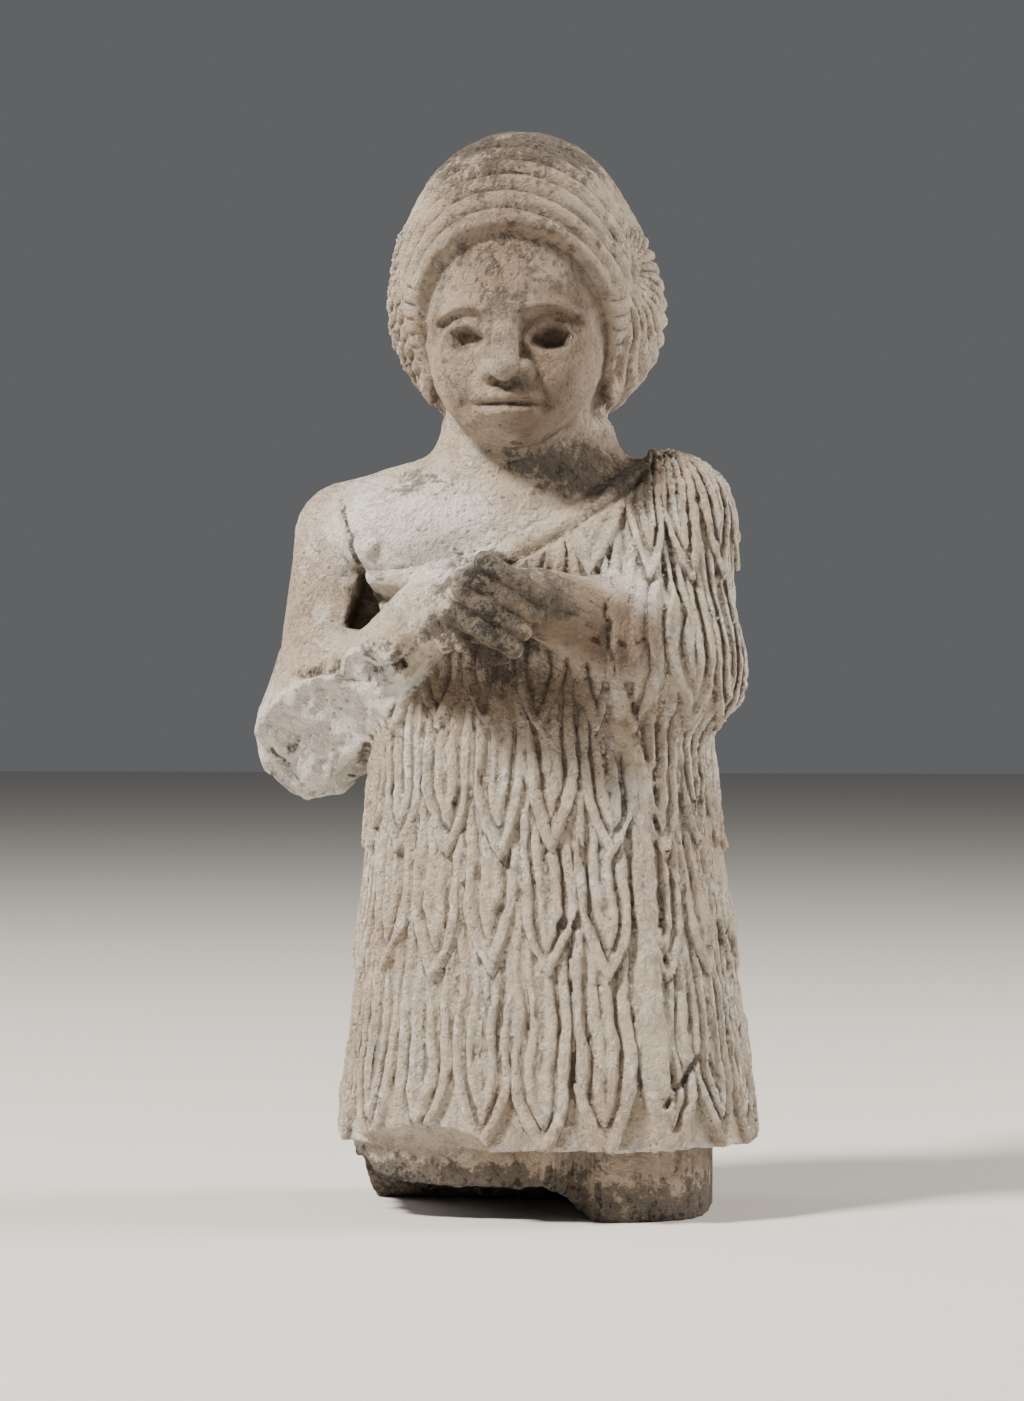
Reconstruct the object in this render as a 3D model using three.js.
// A carved stone worshipper in a tufted fleece robe, broken off a little below the hem.
// Millimetres, +Z up. The figure faces -Y, its left hand is on the +X side, and z = 0 is what it stands on.
// The figure is one solid. Its form is a field, below zero inside the stone, that joins the masses of the
// body and takes the carving and the breaks out of them. Marching cubes mesh its skin, which is then thinned.
import * as THREE from "three";
import { MarchingCubes } from "three/addons/objects/MarchingCubes.js";
import { mergeVertices } from "three/addons/utils/BufferGeometryUtils.js";

const { clamp, lerp, smoothstep } = THREE.MathUtils;

// Heights, one on top of the other
const STUB_HEIGHT = 19; // what is left below the hem
const ROBE_HEIGHT = 159; // hem to the shoulder joints
const NECK_RISE = 19; // shoulder joints to the chin
const HEAD_HEIGHT = 83; // chin to crown

// Body and robe
const HEM_WIDTH = 103;
const HEM_DEPTH = 75;
const WAIST_WIDTH = 80;
const WAIST_DEPTH = 58;
const CHEST_WIDTH = 84;
const CHEST_DEPTH = 55;
const SHOULDER_SPAN = 86; // between the two shoulder joints
const SHOULDER_RADIUS = 14.5;
const NECK_WIDTH = 41;
const CLOTH_THICKNESS = 1.3;
const EDGE_ROLL = 1.2; // how far the rolled top edge stands out over the cloth

// Fleece: rows of hanging tongues
const TONGUES_ROUND = 21;
const HEM_ROW_HEIGHT = 42;
const ROW_HEIGHT = 31;
const SLEEVE_ROW_HEIGHT = 39;
const TONGUE_OVERLAP = 16; // how far a tongue starts above the tips of the row over it
const TONGUE_POINT = 19; // how long its pointed end is
const TONGUE_THICKNESS = 2.6;
const TONGUE_GROOVE_DEPTH = 1.3;
const TONGUE_PITCH = 14.6; // from one tongue to the next on the sleeve and shoulder
const BORDER_WIDTH = 7.5; // plain border along the top edge
const STRIP_WIDTH = 5.5; // plain strip down the front edge
const STRIP_COLUMN = 2.1; // how many tongues it stands to the left of the middle

// Arms and hands
const UPPER_ARM_RADIUS = 11.5;
const ELBOW_DROP = 57.5; // shoulder joint to elbow joint
const ELBOW_REACH = 9.5; // how far the elbow stands out past the shoulder joint
const WRIST_RADIUS = 8.8;
const HANDS_FORWARD = 43; // body axis to the middle of the clasped hands
const HANDS_DROP = 21; // below the shoulder joints
const FINGER_RADIUS = 2.7;

// Head
const HEAD_WIDTH = 65.5;
const HEAD_DEPTH = 74;
const FACE_WIDTH = 49;
const HAIR_BAND_WIDTH = 4.7;
const HAIR_BAND_DEPTH = 1.2;
const HAIR_BANDS = 5;
const HAIR_LOCK_DEPTH = 1.2;
const HAIR_LOCKS_ROUND = 36; // in a full turn of the fan at each temple

// Stub and breaks
const STUB_WIDTH = 92;
const STUB_DEPTH = 60;
const BREAK_RISE = 10; // how high the break climbs at the front left
const BREAK_ROUGHNESS = 1.3;
const LEVELLED = 1; // how much of the break's lumps is levelled to the plane that the figure stands on

// Meshing
const GRID = 248; // cells along each side of the cube that holds the figure
const MOST_RAW_TRIANGLES = 230000;
const MOST_TRIANGLES = 9800;
const LEAST_FACING = 0.25; // a collapse may not turn a triangle further than this cosine
const LEAST_FIELD = 0.03; // keeps the skin's points off the grid's own corners

const hem = STUB_HEIGHT;
const shoulder = hem + ROBE_HEIGHT;
const chin = shoulder + NECK_RISE;
const crown = chin + HEAD_HEIGHT;
const hairline = lerp(chin, crown, 0.58);
const joint = SHOULDER_SPAN / 2;
const headX = -4;

// A smooth union and a smooth cut of two fields, rounded over the given length.
function join(a, b, round) {
  const h = Math.max(round - Math.abs(a - b), 0) / round;
  return Math.min(a, b) - h * h * round * 0.25;
}

function cut(a, b, round) {
  return -join(-a, b, round);
}

function ellipsoid(x, y, z, rx, ry, rz) {
  const near = Math.hypot(x / rx, y / ry, z / rz);
  const steep = Math.hypot(x / (rx * rx), y / (ry * ry), z / (rz * rz));
  return steep > 1e-9 ? (near * (near - 1)) / steep : -Math.min(rx, ry, rz);
}

// A limb from one ball to another, each { at: [x, y, z], r }.
function limb(x, y, z, from, to) {
  const [ax, ay, az] = from.at;
  const dx = to.at[0] - ax;
  const dy = to.at[1] - ay;
  const dz = to.at[2] - az;
  const along = (x - ax) * dx + (y - ay) * dy + (z - az) * dz;
  const t = clamp(along / (dx * dx + dy * dy + dz * dz), 0, 1);
  return Math.hypot(x - ax - t * dx, y - ay - t * dy, z - az - t * dz) - lerp(from.r, to.r, t);
}

// A column whose plan is a rounded oblong.
function oblong(x, y, a, b, squareness) {
  const u = Math.abs(x) / a;
  const v = Math.abs(y) / b;
  const f = Math.pow(Math.pow(u, squareness) + Math.pow(v, squareness), 1 / squareness);
  if (f < 1e-6) return -Math.min(a, b);
  const gx = Math.pow(u / f, squareness - 1) / a;
  const gy = Math.pow(v / f, squareness - 1) / b;
  return (f - 1) / Math.hypot(gx, gy);
}

// Lumps of broken stone, from -1 to 1, as a sum of crossed waves.
function lumps(x, y, z) {
  const wide = Math.sin(0.31 * x + 1.7 * Math.sin(0.19 * z)) * Math.sin(0.37 * y + 0.9);
  const slow = Math.sin(0.29 * z + 0.2 * x);
  const fine = Math.sin(0.83 * x + 1.1 * Math.sin(0.57 * y)) * Math.sin(0.71 * z + 0.61 * y);
  return 0.4 * (wide + slow) + 0.3 * fine;
}

// A smooth outline through a few stations [height, size], read back as a function of height.
function outline(stations) {
  const points = stations.map(([z, size]) => new THREE.Vector2(z, size));
  const drawn = new THREE.SplineCurve(points).getPoints(40 * stations.length);
  const low = stations[0][0];
  const high = stations.at(-1)[0];
  const steps = 400;
  const sizes = [];
  for (let i = 0, k = 0; i <= steps; i++) {
    const z = lerp(low, high, i / steps);
    while (k < drawn.length - 2 && drawn[k + 1].x < z) k++;
    const share = clamp((z - drawn[k].x) / (drawn[k + 1].x - drawn[k].x || 1), 0, 1);
    sizes.push(lerp(drawn[k].y, drawn[k + 1].y, share));
  }
  return (z) => {
    const at = clamp((z - low) / (high - low), 0, 1) * steps;
    const i = Math.min(Math.floor(at), steps - 1);
    return lerp(sizes[i], sizes[i + 1], at - i);
  };
}

const robeAt = (share) => hem + share * ROBE_HEIGHT;
const halfWidth = outline([
  [hem, HEM_WIDTH / 2],
  [robeAt(0.27), lerp(HEM_WIDTH, WAIST_WIDTH, 0.38) / 2],
  [robeAt(0.48), lerp(HEM_WIDTH, WAIST_WIDTH, 0.68) / 2],
  [robeAt(0.68), lerp(HEM_WIDTH, WAIST_WIDTH, 0.85) / 2],
  [robeAt(0.84), WAIST_WIDTH / 2],
  [robeAt(0.95), CHEST_WIDTH / 2],
  [robeAt(1.06), 0.62 * (CHEST_WIDTH / 2)],
  [chin, 0.4 * (CHEST_WIDTH / 2)],
]);
const halfDepth = outline([
  [hem, HEM_DEPTH / 2],
  [robeAt(0.27), lerp(HEM_DEPTH, WAIST_DEPTH, 0.4) / 2],
  [robeAt(0.48), lerp(HEM_DEPTH, WAIST_DEPTH, 0.7) / 2],
  [robeAt(0.84), WAIST_DEPTH / 2],
  [robeAt(0.95), CHEST_DEPTH / 2],
  [robeAt(1.06), 0.74 * (CHEST_DEPTH / 2)],
  [chin, 0.5 * (CHEST_DEPTH / 2)],
]);
const robeSquareness = 2.5;
// The skirt stands a little to the figure's left.
const lean = (z) => lerp(2.5, 0, smoothstep(z, hem, shoulder));

// Neck, shoulders and the sleeve that hides the left arm.
const neckLow = { at: [headX, 4, shoulder + 6], r: NECK_WIDTH / 2 + 2 };
const neckHigh = { at: [headX, 1, chin + 14], r: NECK_WIDTH / 2 };
const rightJoint = { at: [-joint - 7, 3, shoulder - 3], r: SHOULDER_RADIUS };
const rightCollar = { at: [-10, 4, shoulder + 8], r: SHOULDER_RADIUS };
const leftJoint = { at: [joint - 10.5, 3, shoulder + 1], r: SHOULDER_RADIUS };
const leftCollar = { at: [8, 4, shoulder + 2], r: SHOULDER_RADIUS + 1 };
const sleeveElbow = { at: [joint - 8.5, -8, shoulder - 37], r: UPPER_ARM_RADIUS + 4.5 };
const sleeveEnd = { at: [joint - 18, -21, shoulder - 29], r: UPPER_ARM_RADIUS + 3 };

function torso(x, y, z) {
  let d = oblong(x - lean(z), y - 1, halfWidth(z), halfDepth(z), robeSquareness);
  d = Math.max(d, z - chin - 4);
  d = join(d, limb(x, y, z, rightCollar, rightJoint), 10);
  d = join(d, limb(x, y, z, leftCollar, leftJoint), 10);
  d = join(d, limb(x, y, z, neckLow, neckHigh), 9);
  d = join(d, limb(x, y, z, leftJoint, sleeveElbow), 6);
  d = join(d, limb(x, y, z, sleeveElbow, sleeveEnd), 6);
  const breast = ellipsoid(x + 30, y + 13, z - (shoulder - 5), 19, 13.5, 11);
  return join(d, breast, lerp(3, 16, smoothstep(z, shoulder - 12, shoulder + 2)));
}

// The deep pocket between the upper arm and the chest, narrow at the armpit and wider below.
function pocket(x, y, z) {
  const down = (shoulder - 12 - z) / 20;
  const half = lerp(0.6, 6.2, clamp(down * 1.4, 0, 1));
  return Math.max(Math.abs(x + joint + 1.5) - half, y - 1, z - (shoulder - 12), shoulder - 44 - z);
}

// The robe's top edge climbs from under the right arm to the left side of the neck. Above it is bare skin.
function underEdge(x, z) {
  const share = clamp((x + joint - 2) / (joint + 27), 0, 1);
  const edge = lerp(shoulder - 13, shoulder + 18, Math.pow(share, 2.1));
  return share < 1 ? edge - z : ROBE_HEIGHT;
}

// Heights of the tips of each row, from the hem up. The last row hangs from the border on the shoulder.
const tips = [hem - 2, hem + HEM_ROW_HEIGHT];
tips.push(tips.at(-1) + ROW_HEIGHT);
tips.push(tips.at(-1) + ROW_HEIGHT);
tips.push(tips.at(-1) + SLEEVE_ROW_HEIGHT);
tips.push(shoulder + NECK_RISE);

const rowShifts = [-0.25, -0.15, 0, -0.2, 0]; // in tongues, from the hem up
const shoulderRow = tips.length - 2;
const sleeveEdge = joint - 18.5; // where the sleeve's front edge hangs beside the left forearm

// Place round the robe, one tongue to each whole number. Sleeve and shoulder have tongues of their own,
// counted along the front and on round the side.
function columnAt(x, y, z, row) {
  const onSleeve = row === shoulderRow || (row === shoulderRow - 1 && x > sleeveEdge - 3);
  if (onSleeve) {
    const round = x + 0.8 * Math.max(y + 25, 0) * smoothstep(x, joint - 18, joint - 3);
    return (round - sleeveEdge) / TONGUE_PITCH - rowShifts[row];
  }
  const turn = Math.atan2((x - lean(z)) / halfWidth(z), -(y - 1) / halfDepth(z));
  return (turn / (2 * Math.PI)) * TONGUES_ROUND - (rowShifts[row] ?? 0);
}

// Relief of one row of tongues over the robe at a place, or below zero beside them.
function tongue(column, z, row) {
  if (row < 0) return -1;
  const top = tips[row + 1] + TONGUE_OVERLAP;
  const t = (top - z) / (top - tips[row]);
  const across = Math.abs(column - Math.floor(column) - 0.5);
  const point = TONGUE_POINT / (top - tips[row]);
  const taper = clamp((t - 1 + point) / point, 0, 1);
  const half = t > 1 ? -1 : 0.5 * (1 - Math.pow(taper, 1.6));
  const inside = half - across;
  if (inside < 0) return -1;
  const groove = 0.5 - 0.5 * Math.cos((Math.PI * 2 * clamp(inside - 0.1, 0, 0.3)) / 0.3);
  const body = lerp(0.3, 1, clamp(t, 0, 1)) * TONGUE_THICKNESS * smoothstep(inside, -0.02, 0.08);
  return Math.max(body - groove * TONGUE_GROOVE_DEPTH, 0);
}

function fleece(x, y, z) {
  const under = underEdge(x, z);
  const cloth = smoothstep(under, -0.8, 0.8) * CLOTH_THICKNESS;
  if (cloth === 0) return 0;
  let row = 0;
  while (row < tips.length - 2 && z > tips[row + 1]) row++;
  const over = tongue(columnAt(x, y, z, row), z, row);
  let relief = over >= 0 ? over : Math.max(tongue(columnAt(x, y, z, row - 1), z, row - 1), 0);
  // The plain strip down the front edge, two tongues to the left of the middle, and up the sleeve's edge
  const aside = columnAt(x, y, z, 2) - STRIP_COLUMN;
  const below = row < shoulderRow - 1;
  const strip = Math.abs(below ? aside * ((2 * Math.PI) / TONGUES_ROUND) * halfWidth(z) : x - sleeveEdge);
  const ends = 1 - smoothstep(z, tips[shoulderRow] - 2, tips[shoulderRow] + 2);
  const inFront = 1 - smoothstep(y, -12, -6);
  const onStrip = ends * inFront * (1 - smoothstep(strip, STRIP_WIDTH / 2 - 0.6, STRIP_WIDTH / 2 + 0.6));
  relief = lerp(relief, 0.8 * TONGUE_THICKNESS, onStrip);
  const rolled = EDGE_ROLL * Math.exp(-(((under - 3.2) / 2.2) ** 2));
  const belowBorder = smoothstep(under, BORDER_WIDTH - 0.8, BORDER_WIDTH + 0.8);
  return cloth + rolled * smoothstep(under, -0.5, 1) + relief * belowBorder;
}

// Right arm, bent to the clasped hands, with a web of stone left between it and the body.
const rightElbow = { at: [-joint - ELBOW_REACH - 6, 1, shoulder - ELBOW_DROP], r: UPPER_ARM_RADIUS + 1 };
const handsX = -7;
const hands = { at: [handsX, -HANDS_FORWARD, shoulder - HANDS_DROP], r: WRIST_RADIUS };
const rightWrist = { at: [handsX - 14, -HANDS_FORWARD + 4, shoulder - HANDS_DROP - 1], r: WRIST_RADIUS };
const leftWrist = { at: [handsX + 12, -HANDS_FORWARD + 2, shoulder - HANDS_DROP], r: WRIST_RADIUS + 1 };

function rightArm(x, y, z) {
  const upper = cut(limb(x, y, z, rightJoint, rightElbow), pocket(x, y, z), 1.5);
  const lower = limb(x, y, z, rightElbow, rightWrist);
  return join(upper, lower, 18);
}

function armWeb(x, y, z) {
  const middle = (rightJoint.at[0] + WAIST_WIDTH * -0.42) / 2;
  const column = oblong(x - middle, y - 10, 14, 6, 2.5);
  return Math.max(column, rightElbow.at[2] - 4 - z, z - rightJoint.at[2]);
}

// Four fingers of the right hand over the fist, and the tips of the left hand's under it.
function clasp(x, y, z) {
  const [hx, hy, hz] = hands.at;
  if (Math.hypot(x - hx, y - hy, z - hz) > 40) return 40;
  let d = ellipsoid(x - hx, y - hy, z - hz, 14, 9.5, 10.5);
  for (let i = 0; i < 4; i++) {
    const knuckle = { at: [hx + 0.5 - 3 * i, hy - 8.6, hz + 9.5 - 4 * i], r: FINGER_RADIUS };
    const end = { at: [hx + 14 - 2.2 * i, hy - 7, hz + 1 - 4.3 * i], r: FINGER_RADIUS - 0.2 };
    d = join(d, limb(x, y, z, knuckle, end), 0.5);
  }
  for (let i = 0; i < 3; i++) {
    const knuckle = { at: [hx - 9.5 - 4 * i, hy - 5.5 + i, hz - 3 - 1.6 * i], r: FINGER_RADIUS - 0.2 };
    const end = { at: [hx - 6 - 4 * i, hy - 4.5 + i, hz - 10.5 - 0.4 * i], r: FINGER_RADIUS - 0.4 };
    d = join(d, limb(x, y, z, knuckle, end), 0.5);
  }
  return d;
}

// Skull, face and hair. The hair's bands ring the face, and its locks fan out behind them from the temples.
const headMiddle = [headX, 1, lerp(chin, crown, 0.47)];
const bandTurn = HAIR_BAND_WIDTH / (HEAD_WIDTH / 2 + 3);
const hairlineTurn = 0.94;

function hair(x, y, z) {
  const dx = x - headX;
  const up = z - lerp(chin, crown, 0.56);
  const down = z - lerp(chin, crown, 0.42);
  const cap = ellipsoid(dx + 0.8, y - 2, up, HEAD_WIDTH * 0.47, HEAD_DEPTH * 0.47, HEAD_HEIGHT * 0.44);
  const sides = ellipsoid(dx - 1, y - 8, down, HEAD_WIDTH / 2, HEAD_DEPTH * 0.41, HEAD_HEIGHT * 0.325);
  const bun = ellipsoid(dx, y - HEAD_DEPTH * 0.33, down, HEAD_WIDTH * 0.36, 14, HEAD_HEIGHT * 0.27);
  return join(join(cap, sides, 12), bun, 8);
}

function fromFace(x, y, z) {
  const dx = x - headMiddle[0];
  const dy = y - headMiddle[1];
  const dz = z - headMiddle[2];
  const towards = (-dy * 0.894 - dz * 0.447) / (Math.hypot(dx, dy, dz) || 1);
  return Math.acos(clamp(towards, -1, 1));
}

function hairRelief(x, y, z) {
  const turn = fromFace(x, y, z);
  const band = (turn - hairlineTurn) / bandTurn;
  const above = smoothstep(z, headMiddle[2] - 4, headMiddle[2] + 12);
  const fade = above * (1 - smoothstep(band, HAIR_BANDS, HAIR_BANDS + 0.6));
  const bands = fade * HAIR_BAND_DEPTH * (0.5 - 0.5 * Math.cos(2 * Math.PI * Math.max(band, 0)));
  const up = z - hairline + 1;
  const back = 0.6 * (Math.abs(x - headX) - 24) + 0.8 * (y + 13);
  const fromTemple = Math.hypot(up, back);
  const fan = Math.atan2(up, back);
  const behind = smoothstep(back, 2, 6) * (1 - smoothstep(z, hairline + 6, hairline + 14));
  const apart = smoothstep(fromTemple, 4, 12);
  const locks = apart * HAIR_LOCK_DEPTH * (0.5 - 0.5 * Math.cos(fan * HAIR_LOCKS_ROUND));
  return lerp(bands, locks, behind);
}

// The face is a plain one on the canon of thirds: hairline, brow, base of the nose and chin are evenly apart.
const third = (hairline - chin) / 3;
const brow = chin + 2 * third;
const noseBase = chin + third;
const mouth = chin + 0.63 * third;
const eyeWidth = FACE_WIDTH / 4.6;
const faceFront = -HEAD_DEPTH * 0.45;

function face(x, y, z) {
  const dx = x - headX;
  const side = Math.abs(dx);
  const middleZ = lerp(chin, crown, 0.42);
  let d = ellipsoid(dx, y + 7, z - middleZ, FACE_WIDTH / 2, -7 - faceFront, HEAD_HEIGHT * 0.43);
  d = join(d, ellipsoid(dx, y - faceFront - 10, z - (chin + 8), 11, 9.5, 7.5), 8);
  d = join(d, ellipsoid(dx, y - faceFront - 11, z - (chin + 15), 13, 10.5, 9), 8);
  d = join(d, ellipsoid(side - 12, y - faceFront - 10.5, z - (noseBase + 3), 8, 9, 10), 8);
  if (y > faceFront + 16) return d;
  const noseTop = { at: [0, faceFront + 0.8, brow], r: 2.2 };
  const noseTip = { at: [0, faceFront - 3, noseBase + 3], r: 3.2 };
  // The eyes have lost their inlay: a rim round an empty almond hollow
  const eyeX = (side - eyeWidth * 0.92) / (eyeWidth / 2);
  const eyeZ = (z - (brow - 0.3 * third)) / (0.27 * eyeWidth);
  const almond = Math.abs(eyeZ) - (1 - eyeX * eyeX);
  const hollow = 1.9 * smoothstep(-almond, -0.1, 0.75);
  const rim = 1.1 * Math.exp(-((almond - 0.35) ** 2) / 0.22) * (Math.abs(eyeX) < 1.4 ? 1 : 0);
  const socket = 1.6 * Math.exp(-(eyeX * eyeX) / 1.6 - (eyeZ * eyeZ) / 7);
  const browLine = brow + 0.17 * third * Math.sin(Math.min(side / 19, 1) * Math.PI) + 0.02 * third;
  const browRidge = 1.3 * Math.exp(-(((z - browLine) / 1.7) ** 2)) * (1 - smoothstep(side, 17, 21));
  const lipRoom = clamp(1 - (side / 8) ** 2, 0, 1);
  const lips = 1.7 * Math.sqrt(lipRoom) * Math.exp(-(((z - mouth) / 3) ** 2));
  const parting = 1.2 * Math.sqrt(lipRoom) * Math.exp(-(((z - mouth) / 0.8) ** 2));
  d += hollow + socket - rim - browRidge - lips + parting;
  d = join(d, limb(dx, y, z, noseTop, noseTip), 2.5);
  const wing = { at: [3.2, faceFront - 0.3, noseBase + 2.2], r: 2.4 };
  return join(d, Math.hypot(side - wing.at[0], y - wing.at[1], z - wing.at[2]) - wing.r, 1.5);
}

function head(x, y, z) {
  if (z < chin - 25) return 25;
  const ear = ellipsoid(Math.abs(x - headX) - FACE_WIDTH / 2 + 1, y + 6, z - (noseBase + 4), 3, 4.5, 8);
  const skin = join(face(x, y, z), ear, 2);
  const covered = smoothstep(fromFace(x, y, z), hairlineTurn - 0.05, hairlineTurn + 0.03);
  const locks = hair(x, y, z) + 3.2 * (1 - covered) - covered * hairRelief(x, y, z);
  return join(skin, locks, 1.2);
}

// The stub below the hem, with the hollow between the ankles.
function stub(x, y, z) {
  const d = oblong(x + 1.5, y - 2, STUB_WIDTH / 2, STUB_DEPTH / 2, 3.4);
  const hollow = Math.hypot(x - 13, (y - 2 + STUB_DEPTH / 2) * 0.8) - 4.5;
  return Math.max(cut(d, hollow, 3), z - hem - 6);
}

// What is broken away below: the front left of the stub, and a bite out of the hem over it.
function broken(x, y, z) {
  const rough = BREAK_ROUGHNESS * lumps(x, y, z);
  const left = smoothstep(-x, -20, -4) + 0.5 * smoothstep(-x, 30, 46);
  const front = 1 - smoothstep(y, -2, 22);
  const underside = z - (BREAK_RISE * left * front + rough - LEVELLED);
  const chip = ellipsoid(x + 34, y + 40, z - hem + 1, 26, 14, 8) + 0.8 * rough;
  return Math.min(underside, chip);
}

const forearm = new THREE.Vector3(...rightWrist.at).sub(new THREE.Vector3(...rightElbow.at));
const forearmWay = forearm.clone().normalize();
const breakFacing = new THREE.Vector3(0.15, -1, -0.1).projectOnPlane(forearmWay).normalize();

// The right forearm is sheared off in front and below. The break runs out towards the wrist, and leaves a
// band of the skin on top.
function forearmBreak(x, y, z) {
  const rough = BREAK_ROUGHNESS * lumps(1.3 * x, y, 1.3 * z);
  const dx = x - rightElbow.at[0];
  const dy = y - rightElbow.at[1];
  const dz = z - rightElbow.at[2];
  const out = dx * breakFacing.x + dy * breakFacing.y + dz * breakFacing.z;
  const along = dx * forearmWay.x + dy * forearmWay.y + dz * forearmWay.z;
  const runOut = 6 * smoothstep(along, 0.55 * forearm.length(), 0.85 * forearm.length());
  const sheared = 5.3 + 0.6 * rough + 0.02 * along + runOut - out;
  const below = 9 + rough - (0.5 * dx - 0.2 * dy - 0.84 * dz);
  return Math.min(sheared, below);
}

function statuette(x, y, z) {
  let d = torso(x, y, z);
  if (Math.abs(d) < 8) d -= fleece(x, y, z);
  d = cut(d, pocket(x, y, z), 1.5);
  d = Math.max(d, hem - z + 0.4 * BREAK_ROUGHNESS * lumps(x, y, z));
  d = join(d, armWeb(x, y, z), 4);
  d = join(d, cut(rightArm(x, y, z), forearmBreak(x, y, z), 1), 2);
  d = join(d, limb(x, y, z, sleeveEnd, leftWrist) + 1.5, 2);
  d = join(d, clasp(x, y, z), 2);
  d = join(d, head(x, y, z), 2);
  d = join(d, stub(x, y, z), 1);
  return Math.max(cut(d, broken(x, y, z), 1), -z);
}

// Meshes the field's zero skin, as shared points and triangles. A coarse look first skips the blocks of cells
// that are far from the skin.
function skinOf(field, reach) {
  const cell = reach.z / (GRID - 8);
  const side = GRID * cell;
  const low = new THREE.Vector3(-side / 2, -side / 2, -4 * cell);
  const clay = new MarchingCubes(GRID, new THREE.Material(), false, false, MOST_RAW_TRIANGLES);
  const block = 4;
  const far = block * cell * 0.87 + 5;
  const span = (half) => [Math.floor((side / 2 - half) / cell), Math.ceil((side / 2 + half) / cell)];
  const [x0, x1] = span(reach.x);
  const [y0, y1] = span(reach.y);
  const at = (x, y, z) => field(low.x + x * cell, low.y + y * cell, low.z + z * cell);
  clay.field.fill(-far);
  for (let bz = 0; bz < GRID; bz += block)
    for (let by = y0; by < y1; by += block)
      for (let bx = x0; bx < x1; bx += block) {
        const middle = at(bx + block / 2, by + block / 2, bz + block / 2);
        for (let z = bz; z < bz + block; z++)
          for (let y = by; y < by + block; y++)
            for (let x = bx; x < bx + block; x++) {
              const here = Math.abs(middle) > far ? middle : at(x, y, z);
              clay.setCell(x, y, z, Math.abs(here) < LEAST_FIELD ? -LEAST_FIELD : -here);
            }
      }
  clay.isolation = 0;
  clay.update();
  const triangles = new THREE.BufferGeometry();
  const corners = clay.positionArray.slice(0, 3 * clay.count);
  triangles.setAttribute("position", new THREE.BufferAttribute(corners, 3));
  const skin = mergeVertices(triangles, 1e-5);
  skin.scale(side / 2, side / 2, side / 2);
  skin.translate(low.x + side / 2, low.y + side / 2, low.z + side / 2);
  return { points: skin.attributes.position.array, faces: Array.from(skin.index.array) };
}

// Only the largest body of a mesh: crumbs of stone beside the figure are left out.
function largest({ points, faces }) {
  const root = Int32Array.from({ length: points.length / 3 }, (_, i) => i);
  const find = (v) => {
    while (root[v] !== v) v = root[v] = root[root[v]];
    return v;
  };
  for (let i = 0; i < faces.length; i += 3) {
    root[find(faces[i + 1])] = find(faces[i]);
    root[find(faces[i + 2])] = find(faces[i]);
  }
  const sizes = new Map();
  for (const v of faces) sizes.set(find(v), (sizes.get(find(v)) ?? 0) + 1);
  const [main] = [...sizes].sort((a, b) => b[1] - a[1])[0];
  return { points, faces: faces.filter((v) => find(v) === main) };
}

// A heap of possible edge collapses, the cheapest on top.
class Heap {
  constructor() {
    this.items = [];
  }
  push(item) {
    const list = this.items;
    let i = list.push(item) - 1;
    while (i > 0) {
      const up = (i - 1) >> 1;
      if (list[up].cost <= list[i].cost) break;
      [list[up], list[i]] = [list[i], list[up]];
      i = up;
    }
  }
  pop() {
    const list = this.items;
    const top = list[0];
    const last = list.pop();
    if (list.length) {
      list[0] = last;
      for (let i = 0; ; ) {
        const l = 2 * i + 1;
        if (l >= list.length) break;
        const c = l + 1 < list.length && list[l + 1].cost < list[l].cost ? l + 1 : l;
        if (list[i].cost <= list[c].cost) break;
        [list[c], list[i]] = [list[i], list[c]];
        i = c;
      }
    }
    return top;
  }
}

// The plane of each face adds to a squared-distance measure (ten numbers) at its three corners.
function addPlane(q, o, nx, ny, nz, d, weight) {
  const terms = [nx * nx, nx * ny, nx * nz, nx * d, ny * ny, ny * nz, ny * d, nz * nz, nz * d, d * d];
  for (let i = 0; i < 10; i++) q[o + i] += terms[i] * weight;
}

function errorAt(q, x, y, z) {
  return (
    q[0] * x * x + 2 * q[1] * x * y + 2 * q[2] * x * z + 2 * q[3] * x +
    q[4] * y * y + 2 * q[5] * y * z + 2 * q[6] * y +
    q[7] * z * z + 2 * q[8] * z + q[9]
  );
}

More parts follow.
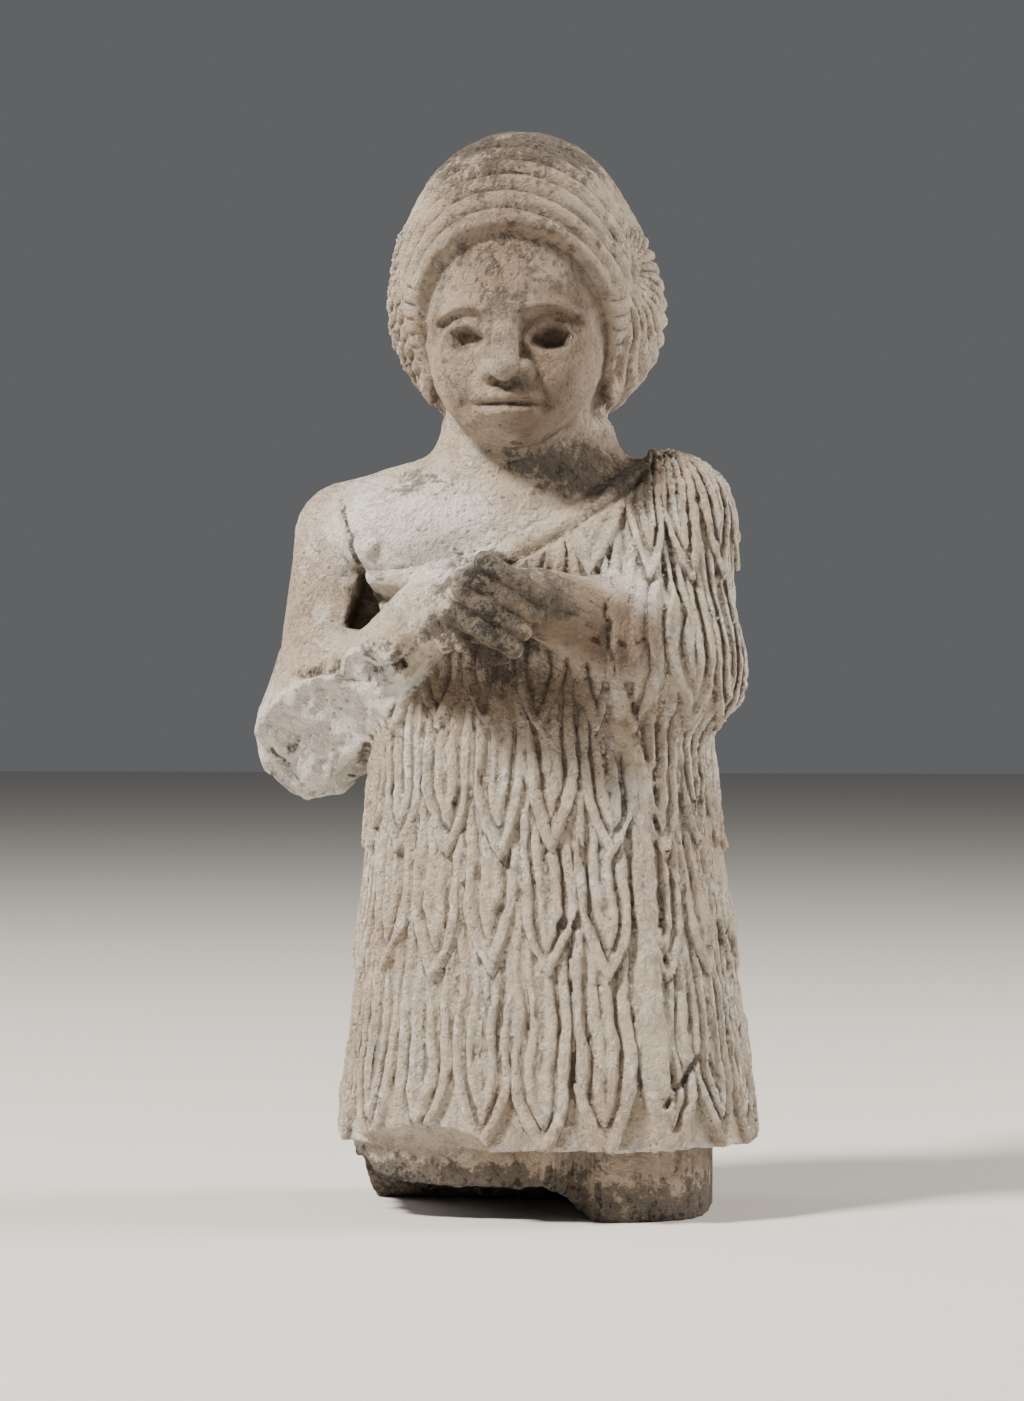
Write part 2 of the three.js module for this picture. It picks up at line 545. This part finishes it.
// Thins a closed mesh to a number of triangles by collapsing the edges that change the form least.
function thin({ points, faces }, most, importance) {
  const p = Float64Array.from(points);
  const count = p.length / 3;
  const f = Int32Array.from(faces);
  const alive = new Uint8Array(f.length / 3).fill(1);
  const around = Array.from({ length: count }, () => new Set());
  const q = new Float64Array(count * 10);
  const version = new Int32Array(count);
  const normal = (a, b, c) => {
    const ux = p[3 * b] - p[3 * a];
    const uy = p[3 * b + 1] - p[3 * a + 1];
    const uz = p[3 * b + 2] - p[3 * a + 2];
    const vx = p[3 * c] - p[3 * a];
    const vy = p[3 * c + 1] - p[3 * a + 1];
    const vz = p[3 * c + 2] - p[3 * a + 2];
    return [uy * vz - uz * vy, uz * vx - ux * vz, ux * vy - uy * vx];
  };
  for (let t = 0; t < alive.length; t++) {
    const [a, b, c] = [f[3 * t], f[3 * t + 1], f[3 * t + 2]];
    for (const v of [a, b, c]) around[v].add(t);
    const n = normal(a, b, c);
    const area = Math.hypot(...n) || 1e-12;
    const [nx, ny, nz] = n.map((k) => k / area);
    const d = -(nx * p[3 * a] + ny * p[3 * a + 1] + nz * p[3 * a + 2]);
    const weight = area * importance(p[3 * a], p[3 * a + 1], p[3 * a + 2]);
    for (const v of [a, b, c]) addPlane(q, v * 10, nx, ny, nz, d, weight);
  }
  const neighbours = (v) => {
    const found = new Set();
    for (const t of around[v]) for (let k = 0; k < 3; k++) found.add(f[3 * t + k]);
    found.delete(v);
    return found;
  };
  const heap = new Heap();
  const sum = new Float64Array(10);
  const form = new THREE.Matrix3();
  const least = new THREE.Vector3();
  const offer = (a, b) => {
    for (let i = 0; i < 10; i++) sum[i] = q[a * 10 + i] + q[b * 10 + i];
    form.set(sum[0], sum[1], sum[2], sum[1], sum[4], sum[5], sum[2], sum[5], sum[7]);
    const det = form.determinant();
    const middle = [0, 1, 2].map((k) => (p[3 * a + k] + p[3 * b + k]) / 2);
    const [atA, atB] = [a, b].map((v) => [p[3 * v], p[3 * v + 1], p[3 * v + 2]]);
    const length = Math.hypot(atA[0] - atB[0], atA[1] - atB[1], atA[2] - atB[2]);
    const choices = [middle, atA, atB];
    const scale = sum[0] + sum[4] + sum[7];
    if (Math.abs(det) > 1e-5 * scale ** 3) {
      const best = least.set(-sum[3], -sum[6], -sum[8]).applyMatrix3(form.invert()).toArray();
      const off = Math.hypot(best[0] - middle[0], best[1] - middle[1], best[2] - middle[2]);
      if (off < 1.5 * length) choices.unshift(best);
    }
    let place = choices[0];
    let cost = Infinity;
    for (const c of choices) {
      const e = errorAt(sum, c[0], c[1], c[2]);
      if (e < cost - 1e-9) {
        cost = e;
        place = c;
      }
    }
    cost = Math.max(cost, 0) + 1e-6 * length * length;
    heap.push({ cost, a, b, va: version[a], vb: version[b], place });
  };
  for (let t = 0; t < alive.length; t++)
    for (let k = 0; k < 3; k++) {
      const a = f[3 * t + k];
      const b = f[3 * t + ((k + 1) % 3)];
      if (a < b) offer(a, b);
    }
  const turnsOver = (v, other, place) => {
    for (const t of around[v]) {
      const corners = [f[3 * t], f[3 * t + 1], f[3 * t + 2]];
      if (corners.includes(other)) continue;
      const before = normal(...corners);
      const kept = [p[3 * v], p[3 * v + 1], p[3 * v + 2]];
      for (let i = 0; i < 3; i++) p[3 * v + i] = place[i];
      const after = normal(...corners);
      for (let i = 0; i < 3; i++) p[3 * v + i] = kept[i];
      const size = Math.hypot(...before) * Math.hypot(...after);
      const facing = before[0] * after[0] + before[1] * after[1] + before[2] * after[2];
      if (facing < LEAST_FACING * size + 1e-9) return true;
    }
    return false;
  };
  let left = alive.length;
  while (left > most && heap.items.length) {
    const { a, b, va, vb, place } = heap.pop();
    if (version[a] !== va || version[b] !== vb || !around[a].size || !around[b].size) continue;
    const na = neighbours(a);
    const nb = neighbours(b);
    let shared = 0;
    for (const v of na) if (nb.has(v)) shared++;
    if (shared !== 2 || turnsOver(a, b, place) || turnsOver(b, a, place)) continue;
    for (const t of [...around[b]]) {
      const corners = [f[3 * t], f[3 * t + 1], f[3 * t + 2]];
      if (corners.includes(a)) {
        alive[t] = 0;
        left--;
        for (const v of corners) around[v].delete(t);
      } else {
        f[3 * t + corners.indexOf(b)] = a;
        around[a].add(t);
      }
    }
    around[b].clear();
    for (let i = 0; i < 3; i++) p[3 * a + i] = place[i];
    for (let i = 0; i < 10; i++) q[a * 10 + i] += q[b * 10 + i];
    version[a]++;
    version[b]++;
    for (const v of neighbours(a)) offer(a, v);
  }
  return { points: p, faces: Array.from(f).filter((_, i) => alive[Math.floor(i / 3)]) };
}

// Only the points that a triangle still uses.
function geometryOf({ points, faces }) {
  const renumbered = new Map();
  const kept = [];
  const index = faces.map((v) => {
    if (!renumbered.has(v)) {
      renumbered.set(v, kept.length / 3);
      kept.push(points[3 * v], points[3 * v + 1], points[3 * v + 2]);
    }
    return renumbered.get(v);
  });
  const geometry = new THREE.BufferGeometry();
  geometry.setAttribute("position", new THREE.Float32BufferAttribute(kept, 3));
  geometry.setIndex(index);
  geometry.computeVertexNormals();
  return geometry;
}

const important = (x, y, z) => {
  const onHands = Math.hypot(x - handsX, y + HANDS_FORWARD, z - hands.at[2]) < 26;
  return (z > chin - 4 ? 3 : 1) * (y < -12 ? 2 : 1) * (onHands ? 3 : 1) * (z < 0.01 ? 50 : 1);
};
const reach = new THREE.Vector3(joint + ELBOW_REACH + UPPER_ARM_RADIUS + 14, HANDS_FORWARD + 24, crown + 4);
const skin = thin(largest(skinOf(statuette, reach)), MOST_TRIANGLES, important);
for (let i = 2; i < skin.points.length; i += 3) if (skin.points[i] < 0.15) skin.points[i] = 0;
const geometry = geometryOf(skin);
geometry.computeBoundingBox();
const middle = geometry.boundingBox.getCenter(new THREE.Vector3());
geometry.translate(-middle.x, -middle.y, 0);

const stone = new THREE.MeshStandardMaterial({ color: 0xc8b9a4, roughness: 0.82, metalness: 0 });
const figure = new THREE.Mesh(geometry, stone);
figure.name = "statuette";
const part = new THREE.Group();
part.add(figure);

export default part;
